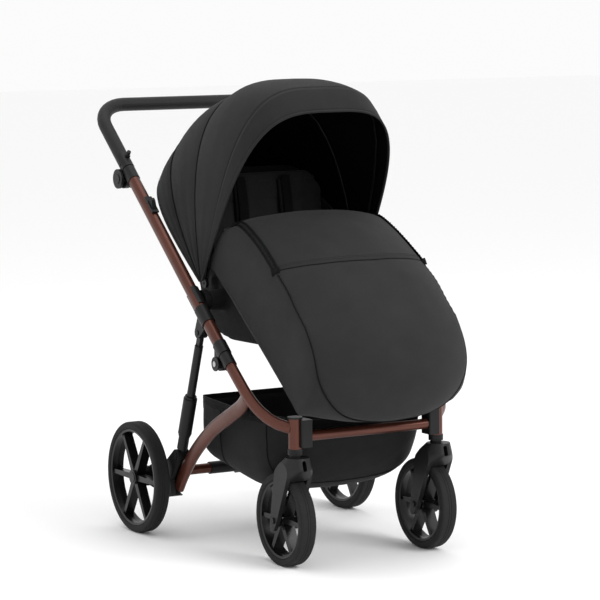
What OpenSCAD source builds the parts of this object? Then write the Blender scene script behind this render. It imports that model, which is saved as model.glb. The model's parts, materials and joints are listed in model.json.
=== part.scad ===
// Baby stroller: two-tube folding chassis, swivel front casters, forward-facing seat
// with canopy and boot cover, shopping basket under the seat.
// Right side is -X, the front is -Y, the ground is Z = 0. All lengths in millimetres.

/* [Wheels] */
// Rear wheel outer radius
rear_r = 132.8; // [120:0.1:140]
// Rear tyre width
rear_tyre_w = 36; // [30:0.5:38]
// Distance of each rear wheel plane from the centre
rear_x = 286.6; // [284:0.1:300]
// Rear axle line, front to back
rear_y = 213.4; // [205:0.1:225]
// Front wheel outer radius
front_r = 105; // [98:0.5:106]
// Front tyre width
front_tyre_w = 40; // [34:0.5:41]
// Front axle line, front to back
front_y = -320; // [-324:1:-316]
// Number of spokes in each wheel
spokes = 6; // [5:1:8]

/* [Chassis] */
// Distance of each side tube plane from the centre
tube_x = 255; // [250:0.5:256]
// Slope of the side tubes
tube_a = 40; // [39.5:0.1:40.5]
// Upper tube width across
tube_w = 26; // [22:0.5:27]
// Upper tube depth
tube_d = 31; // [28:0.5:33]
// Lower tube and leg width across
leg_w = 24; // [20:0.5:26]
// Caster post spacing from the centre
post_x = 186; // [184:0.5:190]
// Caster post line, front to back
post_y = -365; // [-368:1:-362]
// Caster post outer radius
post_r = 15.5; // [14:0.5:17]
// Front cross tube radius
cross_r = 12; // [10:0.5:13]
// Rear axle tube radius
axle_tube_r = 12; // [10:0.5:14]

/* [Handle] */
// Handle grip radius
grip_r = 16.5; // [14:0.5:17]
// Corner radius of the handle
handle_corner = 78; // [60:1:90]
// Handle arm length from knuckle to cross bar
handle_len = 232; // [210:1:240]

/* [Seat] */
// Half width of the seat shell
seat_half = 179; // [172:1:180]
// Half width of the boot cover
muff_half = 202; // [199:0.5:204]

/* [Canopy] */
// Half width of the canopy
can_w = 214.7; // [212:0.1:217]
// Height of the canopy pivot
can_z = 609.6; // [606:0.1:614]
// Canopy pivot, front to back
can_y = 15; // [12:0.1:20]

/* [Hidden] */
y_off = 22.1;
$fn = 64;

brown = "#5a3a30";
black = "#1c1c1c";
dark = "#262626";
cloth = "#3a3a3a";
steel = "#b8b8b8";

// ---------- helpers ----------
// Unit vector along the side tube and its front-up normal, in the YZ plane
tu = [cos(tube_a), sin(tube_a)];
tn = [-sin(tube_a), cos(tube_a)];
bend = [-240, 407.5];
function tp(s, n = 0) = bend + s * tu + n * tn;
s_joint = 89;
s_top = 690;
s_knuckle = 707;
P = tp(s_joint, -27);
Q = [-43, 503];
R = [66, 202];
H = tp(s_knuckle, -29);
S = [-30, 575];
strut_x = 247;
sd = (Q - R) / norm(Q - R);
strut_a = atan2(sd[1], sd[0]);
strut_l = norm(Q - R);

module at() { translate([0, y_off, 0]) children(); }
module side(s) { if (s > 0) mirror([1, 0, 0]) children(); else children(); }
module both() { children(); mirror([1, 0, 0]) children(); }
// 2D shape drawn in (Y, Z), extruded along X from x0 by h
module yz(x0, h) translate([x0, 0, 0]) rotate([90, 0, 90]) linear_extrude(h) children();
module xcyl(r, x0, h, p) translate([x0, p[0], p[1]]) rotate([0, 90, 0]) cylinder(r = r, h = h);
module stadium(w, d) {
  k = min(w, d);
  if (d > w) { square([w, d - w], center = true); for (j = [-1, 1]) translate([0, j * (d - w) / 2]) circle(d = k); }
  else if (w > d) { square([w - d, d], center = true); for (j = [-1, 1]) translate([j * (w - d) / 2, 0]) circle(d = k); }
  else circle(d = k);
}
// Straight piece in the YZ plane at x, from p along angle a, of the given length
module along(x, p, a) translate([x, p[0], p[1]]) rotate([a - 90, 0, 0]) children();
// Smooth curve through given points
function cr(a, b, c, d, t) = 0.5 * (2 * b + (c - a) * t + (2 * a - 5 * b + 4 * c - d) * t * t + (3 * b - a - 3 * c + d) * t * t * t);
function spline(p, k) = concat([for (i = [0:len(p) - 2]) for (j = [0:k - 1])
  cr(i > 0 ? p[i - 1] : 2 * p[0] - p[1], p[i], p[i + 1], i < len(p) - 2 ? p[i + 2] : 2 * p[len(p) - 1] - p[len(p) - 2], j / k)], [p[len(p) - 1]]);
function unit(v) = v / norm(v);
function tang(p, i) = unit(p[min(i + 1, len(p) - 1)] - p[max(i - 1, 0)]);
// Oval tube swept along a path; ref sets the direction in which w is measured
module sweep(p, ref, w, d, n = 24) {
  m = len(p);
  pts = [for (i = [0:m - 1]) let(t = tang(p, i), u = unit(ref - (ref * t) * t), v = cross(t, u))
    for (j = [0:n - 1]) p[i] + u * (w / 2 * cos(360 * j / n)) + v * (d / 2 * sin(360 * j / n))];
  loft(pts, m, n);
}
module loft(pts, m, n) polyhedron(points = pts, faces = concat(
  [for (i = [0:m - 2]) for (j = [0:n - 1]) [i * n + j, (i + 1) * n + j, (i + 1) * n + (j + 1) % n, i * n + (j + 1) % n]],
  [[for (j = [0:n - 1]) j]], [[for (j = [n - 1:-1:0]) (m - 1) * n + j]]));
// Thin shell between an outer and an inner grid of points with the same rows and columns
module shell(a, b, m, n) {
  k = m * n;
  polyhedron(points = concat(a, b), faces = concat(
    [for (i = [0:m - 2]) for (j = [0:n - 2]) [i * n + j, i * n + j + 1, (i + 1) * n + j + 1, (i + 1) * n + j]],
    [for (i = [0:m - 2]) for (j = [0:n - 2]) [k + i * n + j, k + (i + 1) * n + j, k + (i + 1) * n + j + 1, k + i * n + j + 1]],
    [for (j = [0:n - 2]) [j + 1, j, k + j, k + j + 1]],
    [for (j = [0:n - 2]) [(m - 1) * n + j, (m - 1) * n + j + 1, k + (m - 1) * n + j + 1, k + (m - 1) * n + j]],
    [for (i = [0:m - 2]) [i * n, (i + 1) * n, k + (i + 1) * n, k + i * n]],
    [for (i = [0:m - 2]) [(i + 1) * n + n - 1, i * n + n - 1, k + i * n + n - 1, k + (i + 1) * n + n - 1]]));
}

// ---------- chassis ----------
lower_path = [[-tube_x, tp(s_joint - 1)[0], tp(s_joint - 1)[1]], [-tube_x, tp(50)[0], tp(50)[1]], [-tube_x + 1, tp(10)[0], tp(10)[1]],
  [-251, -266, 384], [-243, -292, 359], [-231, -316, 340], [-217, -338, 327], [-204, -352, 321], [-194, -361, 317]];
module lower_tube() color(brown) {
  along(-tube_x, tp(50), tube_a) linear_extrude(s_joint - 1 - 50) stadium(24, 27);
  difference() { sweep(spline([for (i = [1:8]) lower_path[i]], 4), [1, 0.2, -0.1], 24, 27); translate([-post_x, post_y, 250]) cylinder(r = post_r + 0.02, h = 110); }
}
leg_path = [[-249, -259, 379], [-243, -222, 352], [-243, -160, 320], [-242, -96, 289], [-241, -38, 252], [-240, 8, 217], [-239, 44, 183], [-238, 78, 146], [-238, 97, 121]];
module rear_leg() color(brown) sweep(spline(leg_path, 3), [1, 0, 0], 22, 36);
module front_cross_tube() color(brown) at() translate([-170, -374, 299]) rotate([0, 90, 0]) cylinder(r = cross_r, h = 340);
A = [150, 148];
module rear_axle_tube() color(brown) at() xcyl(axle_tube_r, -226, 452, A);
module brake_housing() color(black) at() {
  difference() { xcyl(axle_tube_r + 3, -128, 256, A); xcyl(axle_tube_r + 0.1, -129, 258, A); }
  for (x = [-46, 34]) yz(x, 12) difference() { hull() { translate(A) circle(r = 15); translate([A[0] + 26, A[1] - 6]) circle(r = 9); }
    translate(A) circle(r = axle_tube_r + 0.1); }
}
module rear_brackets() color(black) at() both() {
  difference() {
    union() {
      yz(-262, 34) hull() { translate([105, 112]) circle(r = 14); translate([rear_y, rear_r]) circle(r = 20); translate([150, 158]) circle(r = 22); translate([112, 168]) circle(r = 14); }
      yz(-262, 9) hull() { translate(R) circle(r = 15); translate([110, 168]) circle(r = 16); translate([100, 150]) circle(r = 12); }
      yz(-241, 9) hull() { translate(R) circle(r = 15); translate([110, 168]) circle(r = 16); translate([100, 150]) circle(r = 12); }
      xcyl(24, -264, 6, [rear_y, rear_r]);
      xcyl(12, -268.6, 6, [rear_y, rear_r]);
      xcyl(9, -265, 3.5, R);
    }
    xcyl(6, -270, 50, [rear_y, rear_r]);
    translate([-252.9, 40, 180]) cube([11.8, 62, 60]);
    xcyl(axle_tube_r + 0.05, -245, 40, A);
    at0(leg_path);
  }
  xcyl(5, -253.2, 12.4, R);
}
// Socket for the foot of the leg
module at0(p) hull() for (i = [len(p) - 3, len(p) - 1]) translate(p[i]) rotate([0, 90, 0]) cylinder(r = 19.7, h = 23.6, center = true, $fn = 32);
module rear_axle_pins() color(steel) at() both() xcyl(6, -300, 60, [rear_y, rear_r]);
module caster_posts() color(brown) at() both() translate([-post_x, post_y, 0]) difference() {
  translate([0, 0, 271]) cylinder(r = post_r, h = 68);
  translate([0, 0, 270]) cylinder(r = 8.05, h = 60);
}
module post_blocks() color(black) at() both() difference() {
  union() {
    translate([-post_x + 8, post_y - 21, 275]) linear_extrude(62) offset(r = 4) square([20, 30]);
    translate([-post_x, post_y, 339]) cylinder(r = post_r + 1.5, h = 4);
    translate([-post_x, post_y, 264.5]) difference() { cylinder(r = post_r + 1.5, h = 6.4); translate([0, 0, -1]) cylinder(r = 8.6, h = 9); }
  }
  translate([-post_x, post_y, 270.9]) cylinder(r = post_r + 0.05, h = 68.1);
  translate([-170.1, -374, 299]) rotate([0, 90, 0]) cylinder(r = cross_r + 0.05, h = 60);
}
// Lug about P: a round eye, with a larger half round on its own side of the joint (up = 1 upper, -1 lower)
module lug(up, eye) {
  translate(P) circle(r = eye);
  intersection() { translate(P) circle(r = 16.5); polygon([for (q = [[0.5, 20], [0.5, -20], [20, -20], [20, 20]]) P + up * q[0] * tu + q[1] * tn]); }
  polygon([P + up * 0.5 * tu, P + up * 16.4 * tu, tp(s_joint + up * 31, -9), tp(s_joint + up * 0.7, -9)]);
}
// Sleeve round the tube from s0 to s1, with lugs of width h at each x in xs
module hinge_half(s0, s1, w, d, up, eye, xs, h) difference() {
  union() {
    along(-tube_x, tp(s0), tube_a) linear_extrude(s1 - s0) stadium(w + 4, d + 4);
    for (x = xs) yz(x, h) lug(up, eye);
    if (up > 0) { xcyl(9, -270.4, 4, P); xcyl(16.5, -272.6, 2.4, P); }
  }
  along(-tube_x, tp(s0 - 20), tube_a) linear_extrude(s1 - s0 + 40) stadium(w + 0.2, d + 0.2);
  xcyl(4.05, -280, 50, P);
}
module lower_hinges() color(black) at() both() hinge_half(54, s_joint - 0.5, 24, 27, -1, 9, [-261], 12);
module upper_hinges() color(black) at() both() hinge_half(s_joint + 0.5, 124, tube_w, tube_d, 1, 10.8, [-267, -248.5], 5.5);
module hinge_pins() color(steel) at() both() { xcyl(4, -273, 32.2, P); xcyl(6.5, -274.6, 1.95, P); xcyl(6.5, -242.95, 2.4, P); }

// Basket: sloping front, rounded bottom
// Cross-section at y: half width w, straight sides down to zk, then a rounded bottom down to zb
module bsk(y, w, zk, zb, zt, o) translate([0, y, 0]) rotate([90, 0, 0]) linear_extrude(0.2) polygon(concat([[-w + o, zt]],
  [for (i = [0:12]) let(g = 15 * i) [-(w - o) * sign(cos(g)) * pow(abs(cos(g)), 0.55), zk - (zk - zb - o) * pow(abs(sin(g)), 0.8)]], [[w - o, zt]]));
module bsk_all(o, t) hull() { bsk(45 - o, 198, 235, 192, 334 + t, o); bsk(20, 203, 240, 174, 332 + t, o); bsk(-80, 206, 245, 152, 330 + t, o); bsk(-175, 206, 250, 140, 328 + t, o);
  bsk(-245, 200, 262, 160, 326 + t, o); bsk(-310, 172, 288, 222, 323 + t, o); bsk(-351 + 1.3 * o, 148, 310, 285, 320 + t, o); }
module basket() color(dark) at() difference() { bsk_all(0, 0); bsk_all(3, 12); }
module basket_clips() color(black) at() both() {
  yz(-229, 5) hull() { translate([-232, 342]) circle(r = 8); translate([-244, 378]) circle(r = 8); }
  yz(-224, 14) hull() { translate([-232, 342]) circle(r = 7); translate([-228, 336]) circle(r = 7); }
}
module brake_pedal() color(black) at() {
  difference() { xcyl(19, -33.6, 67.2, A); xcyl(axle_tube_r + 3.08, -35, 70, A); }
  yz(-22, 44) difference() { hull() { translate([A[0] + 16, A[1] - 8]) circle(r = 8); translate([A[0] + 66, A[1] - 26]) circle(r = 6); } translate(A) circle(r = 18); }
}

// ---------- upper frame ----------
module upper_tube() color(brown) along(-tube_x, tp(s_joint + 1), tube_a) linear_extrude(s_top - s_joint - 1) stadium(tube_w, tube_d);
module strut_bracket() {
  sq = (Q - bend) * tu;
  difference() {
    union() {
      along(-tube_x, tp(sq - 24), tube_a) linear_extrude(48) difference() { stadium(tube_w + 5, tube_d + 5); stadium(tube_w + 0.2, tube_d + 0.2); }
      for (x = [-strut_x - 10.5, -strut_x + 5.5]) yz(x, 5) difference() {
        hull() { translate(Q) circle(r = 13); translate(tp(sq - 14, -16)) circle(r = 6); translate(tp(sq + 18, -16)) circle(r = 6); }
        along2(tube_d + 0.2);
      }
      for (x = [-strut_x - 12.5, -strut_x + 10.5]) xcyl(6, x, 2.1, Q);
    }
    along(-tube_x, tp(sq - 40), tube_a) linear_extrude(80) stadium(tube_w + 0.2, tube_d + 0.2);
  }
}
module along2(d) translate(tp(0, -d / 2 + 0)) rotate(tube_a) square([800, d]);
module strut_brackets() color(black) at() both() strut_bracket();
ss = (S - bend) * tu;
module seat_adapters() color(black) at() both() {
  difference() {
    union() {
      along(-tube_x, tp(ss - 26), tube_a) linear_extrude(52) difference() { stadium(tube_w + 6, tube_d + 6); translate([-20, 0]) square([24, 60], center = true); }
      xcyl(25, -239.4, 14, S);
    }
    along(-tube_x, tp(ss - 60), tube_a) linear_extrude(120) stadium(tube_w + 0.2, tube_d + 0.2);
  }
  xcyl(8, -226, 26, S);
}
// Wedge about H between two angles measured from the tube direction
module wedge(a0, a1) polygon(concat([H], [for (i = [0:12]) let(g = a0 + (a1 - a0) * i / 12) H + 40 * (cos(g) * tu + sin(g) * tn)]));
module handle_sockets() color(black) at() both() difference() {
  union() {
    along(-tube_x, tp(s_top - 22), tube_a) linear_extrude(s_knuckle - 1 - s_top + 22) stadium(tube_w + 3, tube_d + 3);
    yz(-tube_x - 5.9, 11.8) { translate(H) circle(r = 11.2); intersection() { translate(H) circle(r = 23.5); wedge(100, 320); } }
  }
  along(-tube_x, tp(s_top - 60), tube_a) linear_extrude(60) stadium(tube_w + 0.2, tube_d + 0.2);
  xcyl(6.06, -tube_x - 12, 24, H);
}
s_trig = 566;
module fold_trigger() color(black) along(-tube_x, tp(s_trig - 26, tube_d / 2 + 0.4), tube_a) {
  translate([-9, -4.5, 0]) cube([18, 4.5, 52]);
  translate([0, -4, 8]) rotate([90, 0, 0]) hull() { translate([-6, 0, 0]) cube([12, 30, 1]); translate([-5, 18, 12]) cube([10, 8, 1]); }
}

// ---------- side struts ----------
module strut_sleeve() color(black) along(-strut_x, R, strut_a) difference() {
  union() { translate([0, 0, 16]) cylinder(r = 12.8, h = 136); translate([-5.8, -10.2, 0]) cube([11.6, 20.4, 22]); translate([0, 0, 58]) cylinder(r = 16.2, h = 92); translate([0, 0, 52]) cylinder(r = 14.4, h = 8); translate([0, 0, 148]) cylinder(r = 13.8, h = 8);
    rotate([0, 90, 0]) cylinder(r = 10.2, h = 11.6, center = true); }
  translate([0, 0, 26]) cylinder(r = 10.05, h = 140);
  rotate([0, 90, 0]) cylinder(r = 5.05, h = 40, center = true);
  for (x = [-15.8, 5.8]) translate([x, -20, -20]) cube([10, 40, 38]);
}
module strut_rod() color(dark) along(-strut_x, R, strut_a) {
  translate([0, 0, 128]) cylinder(r = 10, h = strut_l - 34 - 128);
  difference() { union() { translate([0, 0, strut_l]) rotate([0, 90, 0]) cylinder(r = 13, h = 10, center = true); translate([-5, -8, strut_l - 36]) cube([10, 16, 30]); }
    translate([0, 0, strut_l]) rotate([0, 90, 0]) cylinder(r = 5, h = 40, center = true); }
}

// ---------- handle ----------
hs = handle_len;
hc = handle_corner;
s_arm = s_knuckle + 45;
arm_pts = [for (q = [0:0.25:1]) let(v = tp(s_arm + q * (s_knuckle + hs - hc - s_arm))) [-tube_x, v[0], v[1]]];
arc_pts = [for (g = [10:10:90]) let(v = tp(s_knuckle + hs - hc + hc * sin(g))) [-tube_x + hc * (1 - cos(g)), v[0], v[1]]];
half_pts = concat(arm_pts, arc_pts, [let(v = tp(s_knuckle + hs)) [-90, v[0], v[1]], let(v = tp(s_knuckle + hs)) [0, v[0], v[1]]]);
full_pts = concat(half_pts, [for (i = [len(half_pts) - 2:-1:0]) [-half_pts[i][0], half_pts[i][1], half_pts[i][2]]]);
module handle_bar() color(black) at() difference() {
  sweep(full_pts, [0, tn[0], tn[1]], 2 * grip_r, 2 * grip_r, 24);
  both() along(-tube_x, tp(s_arm - 1), tube_a) cylinder(r = 11.05, h = 17);
}
module handle_hubs() color(black) at() both() difference() {
  union() {
    along(-tube_x, tp(s_knuckle + 1), tube_a) linear_extrude(20) stadium(31, 35);
    along(-tube_x, tp(s_knuckle + 16), tube_a) cylinder(r = grip_r, h = s_arm - s_knuckle - 16.1);
    along(-tube_x, tp(s_arm - 2), tube_a) cylinder(r = 11, h = 17);
    for (x = [-tube_x - 14, -tube_x + 6.1]) yz(x, 7.9) { translate(H) circle(r = 11.2); intersection() { translate(H) circle(r = 23.5); wedge(-115, 87); } }
    for (x = [-tube_x - 21, -tube_x + 15.2]) xcyl(23.5, x, 5.8, H);
    for (x = [-tube_x - 15.4, -tube_x + 13.8]) xcyl(11.2, x, 1.6, H);
    xcyl(6, -tube_x - 6.2, 12.4, H);
    along(-tube_x + 4, tp(s_knuckle + 30, 14), tube_a) rotate([90, 0, 0]) cylinder(r = 5, h = 17.5);
    along(-tube_x + 4, tp(s_knuckle + 30, 14), tube_a) rotate([90, 0, 0]) cylinder(r = 7, h = 4.5);
  }
  xcyl(12.06, -tube_x - 21.2, 4.4, H);
}
module handle_button(x) color(dark) at() xcyl(11.8, x, 3.5, H);

// ---------- front casters ----------
module caster_stem() color(steel) translate([-post_x, post_y, 0]) {
  translate([0, 0, 240]) cylinder(r = 8, h = 82);
  translate([0, 0, 258.2]) cylinder(r = 17, h = 5.8);
  translate([0, 0, 246]) cylinder(r = 13, h = 13);
}
F = [front_y, front_r];
module fork() color(dark) difference() {
  union() {
    difference() {
      union() {
        hull() { translate([-post_x, post_y - 10, 246]) cylinder(r = 27, h = 7, $fn = 32); translate([-post_x, post_y - 14, 226]) cylinder(r = 30, h = 4, $fn = 32);
          yz(-post_x - 33, 66) { translate([post_y + 4, 219]) circle(r = 23, $fn = 32); translate([post_y + 16, 207]) circle(r = 24, $fn = 32); } }
        for (x = [-post_x - 33, -post_x + 22.5]) hull() { yz(x, 10.5) { translate([post_y + 3, 218]) circle(r = 23, $fn = 32); translate([post_y + 16, 206]) circle(r = 24, $fn = 32); translate(F) circle(r = 14, $fn = 32); }
          yz(x + 1, 8.5) translate([front_y + 7, front_r - 15]) circle(r = 11, $fn = 32); }
      }
      xcyl(109, -post_x - 22.4, 44.8, F);
    }
  }
  translate([-post_x, post_y, 219]) cylinder(r = 13.05, h = 40);
  translate([-post_x, post_y - 52, 237]) rotate([-90, 0, 0]) linear_extrude(46) stadium(10, 24);
  xcyl(4.02, -post_x - 60, 120, F);
  translate([-post_x - 6.2, post_y + 26, 214]) cube([12.4, 30, 60]);
}
// Coil spring seen through the crown opening
function coil(r, h, turns, n) = [for (i = [0:n]) [r * cos(360 * turns * i / n), r * sin(360 * turns * i / n), h * i / n]];
module fork_spring() color(steel) translate([-post_x, post_y, 221.4]) sweep(coil(10, 22.6, 4.5, 54), [0, 0, 1], 2.6, 2.6, 8);
module front_axle_bolts() color(steel) { xcyl(4, -post_x - 34, 68, F); xcyl(7, -post_x - 36.5, 3.2, F); xcyl(7, -post_x + 33.3, 3.2, F); }
module swivel_lock() color(black) translate([-post_x, post_y, 0]) {
  translate([-6, 26.5, 222]) cube([12, 8, 22]);
  translate([-6, 34.4, 230]) cube([12, 9, 8]);
}

// ---------- wheels ----------
module rim(x, y, r, w, hub, bore) translate([x, y, r]) rotate([0, 90, 0]) difference() {
  union() {
    rotate_extrude($fn = 96) polygon([[r - 23, -w / 2 + 2.5], [r - 17.6, -w / 2 + 1.5], [r - 17.6, w / 2 - 1.5], [r - 23, w / 2 - 2.5], [r - 21.5, 0]]);
    translate([0, 0, -w / 2 + 1]) cylinder(r = hub, h = w - 2);
    translate([0, 0, -w / 2 - 0.2]) cylinder(r = hub - 5, h = w + 0.2);
    for (i = [0:spokes - 1]) rotate([0, 0, 90 + i * 360 / spokes]) translate([hub - 3, -4.5, -w / 2 + 6]) linear_extrude(w - 12) polygon([[0, -3], [r - 19 - hub, 0], [r - 19 - hub, 9], [0, 12]]);
  }
  translate([0, 0, -w / 2 + 3.5]) cylinder(r = bore, h = w + 4);
}
// Through bore version
module rim_through(x, y, r, w, hub, bore) difference() { rim(x, y, r, w, hub, bore); translate([x - w, y, r]) rotate([0, 90, 0]) cylinder(r = bore, h = 2 * w); }
module tyre(x, y, r, w) translate([x, y, r]) rotate([0, 90, 0]) rotate_extrude($fn = 96) difference() {
  translate([r - 17.5, -w / 2]) offset(r = 6, $fn = 24) offset(delta = -6) square([17.5, w]);
  translate([r - 25, -w / 2 - 1]) square([7.6, w + 2]);
  for (j = [-3, 3]) translate([r, j]) circle(r = 0.8, $fn = 16);
}
module front_rim(s) color(black) rim_through(-post_x, front_y, front_r, 38, 15, 4.06);
module rear_rim(s) color(black) rim(-rear_x, rear_y, rear_r, rear_tyre_w - 1, 17, 6.06);

// ---------- seat ----------
shell_out = [[-216, 484], [-60, 482], [10, 494], [48, 516], [74, 552], [120, 660], [196, 842], [190, 862], [166, 866], [142, 800], [60, 760], [20, 690], [-20, 640], [-200, 588], [-222, 560]];
shell_in = [[142, 900], [132, 760], [96, 590], [80, 540], [50, 516], [-260, 508], [-260, 900]];
// Material cut away at a top corner of the seat back
module seat_corner() translate([0, 300, 0]) rotate([90, 0, 0]) linear_extrude(400) polygon([[-230, 760], [-181, 760], [-176, 790], [-168, 818], [-154, 842], [-132, 858], [-104, 867], [-104, 900], [-230, 900]]);
module seat_shell() color(dark) at() {
  difference() {
    yz(-seat_half, 2 * seat_half) polygon(shell_out);
    yz(-seat_half + 8, 2 * seat_half - 16) polygon(shell_in);
    both() seat_corner();
  }
  difference() { yz(-150, 300) polygon([[-218, 486], [-206, 506], [-372, 402], [-384, 386], [-376, 376]]); }
  both() difference() { xcyl(25, -224.8, 47, S); xcyl(8.06, -230, 31, S); }
  both() { hull() { xcyl(12, -seat_half - 6, 7, [can_y, can_z]); xcyl(14, -seat_half - 6, 7, [can_y + 6, can_z - 30]); } xcyl(3, -can_w + 3.6, can_w - seat_half - 6, [can_y, can_z]); }
}
module seat_liner() color(cloth) at() difference() {
  yz(-seat_half + 8.4, 2 * seat_half - 16.8) polygon([[137.6, 858], [131.6, 760], [95.6, 590], [79.6, 541], [49.6, 516.5], [-214, 509.8], [-212, 545], [40, 548], [66, 566], [102, 762], [112, 858]]);
  both() seat_corner();
}
module harness() color(black) at() {
  for (m = [0, 1]) mirror([m, 0, 0]) {
    yz(-78, 36) polygon([[112, 838], [95, 762], [99.2, 740], [86, 700], [76, 690], [68, 700], [84, 762], [101, 838]]);
    translate([-64, 0, 0]) yz(-8, 22) polygon([[76, 689], [66, 620], [30, 575], [24, 581], [60, 624], [69, 690]]);
  }
  difference() {
    yz(-30, 60) polygon([[38, 588], [16, 552], [4, 562], [24, 596]]);
    along(0, [10, 574.5], 56.6) translate([0, 6, 15]) rotate([-90, 0, 0]) cylinder(r = 9.1, h = 40, center = true);
  }
  yz(-17, 34) polygon([[16, 551.6], [-2, 548.6], [-10, 548.6], [4, 562]]);
}
module harness_button() color(dark) at() along(0, [10, 574.5], 56.6) translate([0, 6, 15]) rotate([-90, 0, 0]) translate([0, 0, -7]) cylinder(r = 9, h = 7);
bar_pts = [[-seat_half + 14, -10, 618], [-seat_half + 12, -60, 634], [-seat_half + 12, -140, 650], [-150, -200, 656], [-110, -236, 658], [-50, -250, 658], [0, -252, 658]];
bar_full = concat(spline(bar_pts, 3), [for (i = [17:-1:0]) let(q = spline(bar_pts, 3)[i]) [-q[0], q[1], q[2]]]);
module bumper_bar() color(black) at() sweep(bar_full, [0, 0.1, 1], 26, 22, 20);
muff_side = [[4, 657], [-34, 711], [-70, 738], [-120, 746], [-194, 715], [-284, 665], [-347, 626], [-392, 584], [-436, 544], [-466, 497], [-477, 453], [-466, 403], [-430, 364], [-404, 352]];
muff_mid = [[-60, 640], [-110, 768], [-150, 774], [-250, 742], [-340, 690], [-430, 620], [-500, 540], [-534, 480], [-540, 430], [-522, 380], [-480, 348], [-420, 341], [-380, 350]];
module boot_cover() color(cloth) at() difference() {
  hull() { yz(-muff_half + 10, 2 * muff_half - 20) polygon(muff_side); yz(-muff_half, 2 * muff_half) offset(delta = -16) polygon(muff_side); yz(-90, 180) polygon(muff_mid); }
  hull() { yz(-muff_half + 14, 2 * muff_half - 28) offset(delta = -5) polygon(muff_side); yz(-muff_half + 5, 2 * muff_half - 10) offset(delta = -20) polygon(muff_side); yz(-90, 180) offset(delta = -5) polygon(muff_mid);
    yz(-muff_half + 14, 2 * muff_half - 28) polygon([[40, 690], [60, 660], [0, 760]]); yz(-150, 300) polygon([[-110, 782], [60, 700]]); }
  yz(-seat_half - 4, 2 * seat_half + 8) polygon([[-150, 800], [60, 800], [60, 600], [-230, 440], [-390, 340], [-396, 372], [-230, 520], [-110, 640]]);
}

// ---------- canopy ----------
// Arch: a squared half-oval, half width w, height r, exponent e, standing in the plane at angle a about the pivot
function rho(g, w, r, e) = 1 / pow(pow(abs(cos(g)) / w, e) + pow(abs(sin(g)) / r, e), 1 / e);
function arch(a, w, r, e, n) = [for (i = [0:n]) let(g = 2.2 + (180 - 4.4) * i / n, q = rho(g, w, r, e))
  [-q * cos(g), can_y + q * sin(g) * cos(a), can_z + q * sin(g) * sin(a)]];
can_n = 32;
function mixv(a, b, t) = a + (b - a) * t;
// Section of the hood between two arches [angle, radius, exponent], with a slight billow
function section(A1, A2, d, m, bulge) = [for (i = [0:m]) let(t = i / m) each arch(mixv(A1[0], A2[0], t), can_w - d, mixv(A1[1], A2[1], t) + bulge * sin(180 * t) - d, mixv(A1[2], A2[2], t), can_n)];
// Arches of the hood: angle from level rear, height, squareness
C0 = [35.5, 428, 3.6];
C1 = [48.7, 450, 2.8];
C2 = [77.9, 448, 2.7];
C3 = [112.5, 491, 3.5];
CV = [120.8, 468, 3.6];
function near(c, a) = [c[0] + a, c[1], c[2]];
module hood(A1, A2, m, bulge) shell(section(A1, A2, 0, m, bulge), section(A1, A2, 2.5, m, bulge), m + 1, can_n + 1);
module canopy_rear() color(cloth) at() hood(C0, near(C1, -0.03), 4, 3);
module canopy_middle() color(cloth) at() hood(near(C1, 0.03), near(C2, -0.03), 5, 3);
module canopy_front() color(cloth) at() hood(near(C2, 0.03), near(C3, -0.03), 5, 3);
module canopy_visor() color(cloth) at() hood(near(C3, 0.03), CV, 3, 0);
// Flat plastic bow inside the hood, with a pivot eye at each end
module bow(c, x0, off, k, lever, th) {
  path = arch(c[0], can_w - off, c[1] - off - 1, c[2], 32);
  sweep([for (i = [k:32 - k]) path[i]], [0, -sin(c[0]), cos(c[0])], 9, 3.4, 8);
  for (m = [0, 1]) mirror([m, 0, 0]) difference() {
    union() { xcyl(11, -x0, th, [can_y, can_z]); translate([-x0 + 0.2, can_y, can_z]) rotate([c[0], 0, 0]) translate([0, 4, -5]) cube([th - 0.4, lever - 4, 10]); }
    xcyl(3.05, -x0 - 1, 6, [can_y, can_z]);
  }
}
module canopy_bow_middle() color(black) at() bow(C2, can_w - 7.5, 6.2, 1, 34, 3);
module canopy_bow_front() color(black) at() bow(C3, can_w - 10.7, 10.2, 2, 57, 3.8);

at() side(-1) lower_tube();  // lower_tube_right
at() side(1) lower_tube();  // lower_tube_left
at() both() rear_leg();  // rear_legs
front_cross_tube();
rear_axle_tube();
brake_housing();
rear_brackets();
rear_axle_pins();
caster_posts();
post_blocks();
lower_hinges();
basket();
basket_clips();
brake_pedal();
at() both() upper_tube();  // upper_tubes
upper_hinges();
hinge_pins();
strut_brackets();
seat_adapters();
handle_sockets();
at() side(-1) fold_trigger();  // fold_trigger_right
at() side(1) fold_trigger();  // fold_trigger_left
at() side(-1) strut_sleeve();  // strut_sleeve_right
at() side(1) strut_sleeve();  // strut_sleeve_left
at() side(-1) strut_rod();  // strut_rod_right
at() side(1) strut_rod();  // strut_rod_left
handle_bar();
handle_hubs();
handle_button(-tube_x - 22.5);  // handle_button_right
handle_button(tube_x + 19);  // handle_button_left
at() side(-1) caster_stem();  // caster_stem_right
at() side(1) caster_stem();  // caster_stem_left
at() side(-1) fork();  // fork_right
at() side(1) fork();  // fork_left
at() side(-1) fork_spring();  // fork_spring_right
at() side(1) fork_spring();  // fork_spring_left
at() side(-1) front_axle_bolts();  // front_axle_bolts_right
at() side(1) front_axle_bolts();  // front_axle_bolts_left
at() side(-1) swivel_lock();  // swivel_lock_right
at() side(1) swivel_lock();  // swivel_lock_left
at() side(-1) front_rim();  // front_rim_right
at() side(1) front_rim();  // front_rim_left
at() side(-1) color(dark) tyre(-post_x, front_y, front_r, front_tyre_w);  // front_tyre_right
at() side(1) color(dark) tyre(-post_x, front_y, front_r, front_tyre_w);  // front_tyre_left
at() side(-1) rear_rim();  // rear_rim_right
at() side(1) rear_rim();  // rear_rim_left
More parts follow.
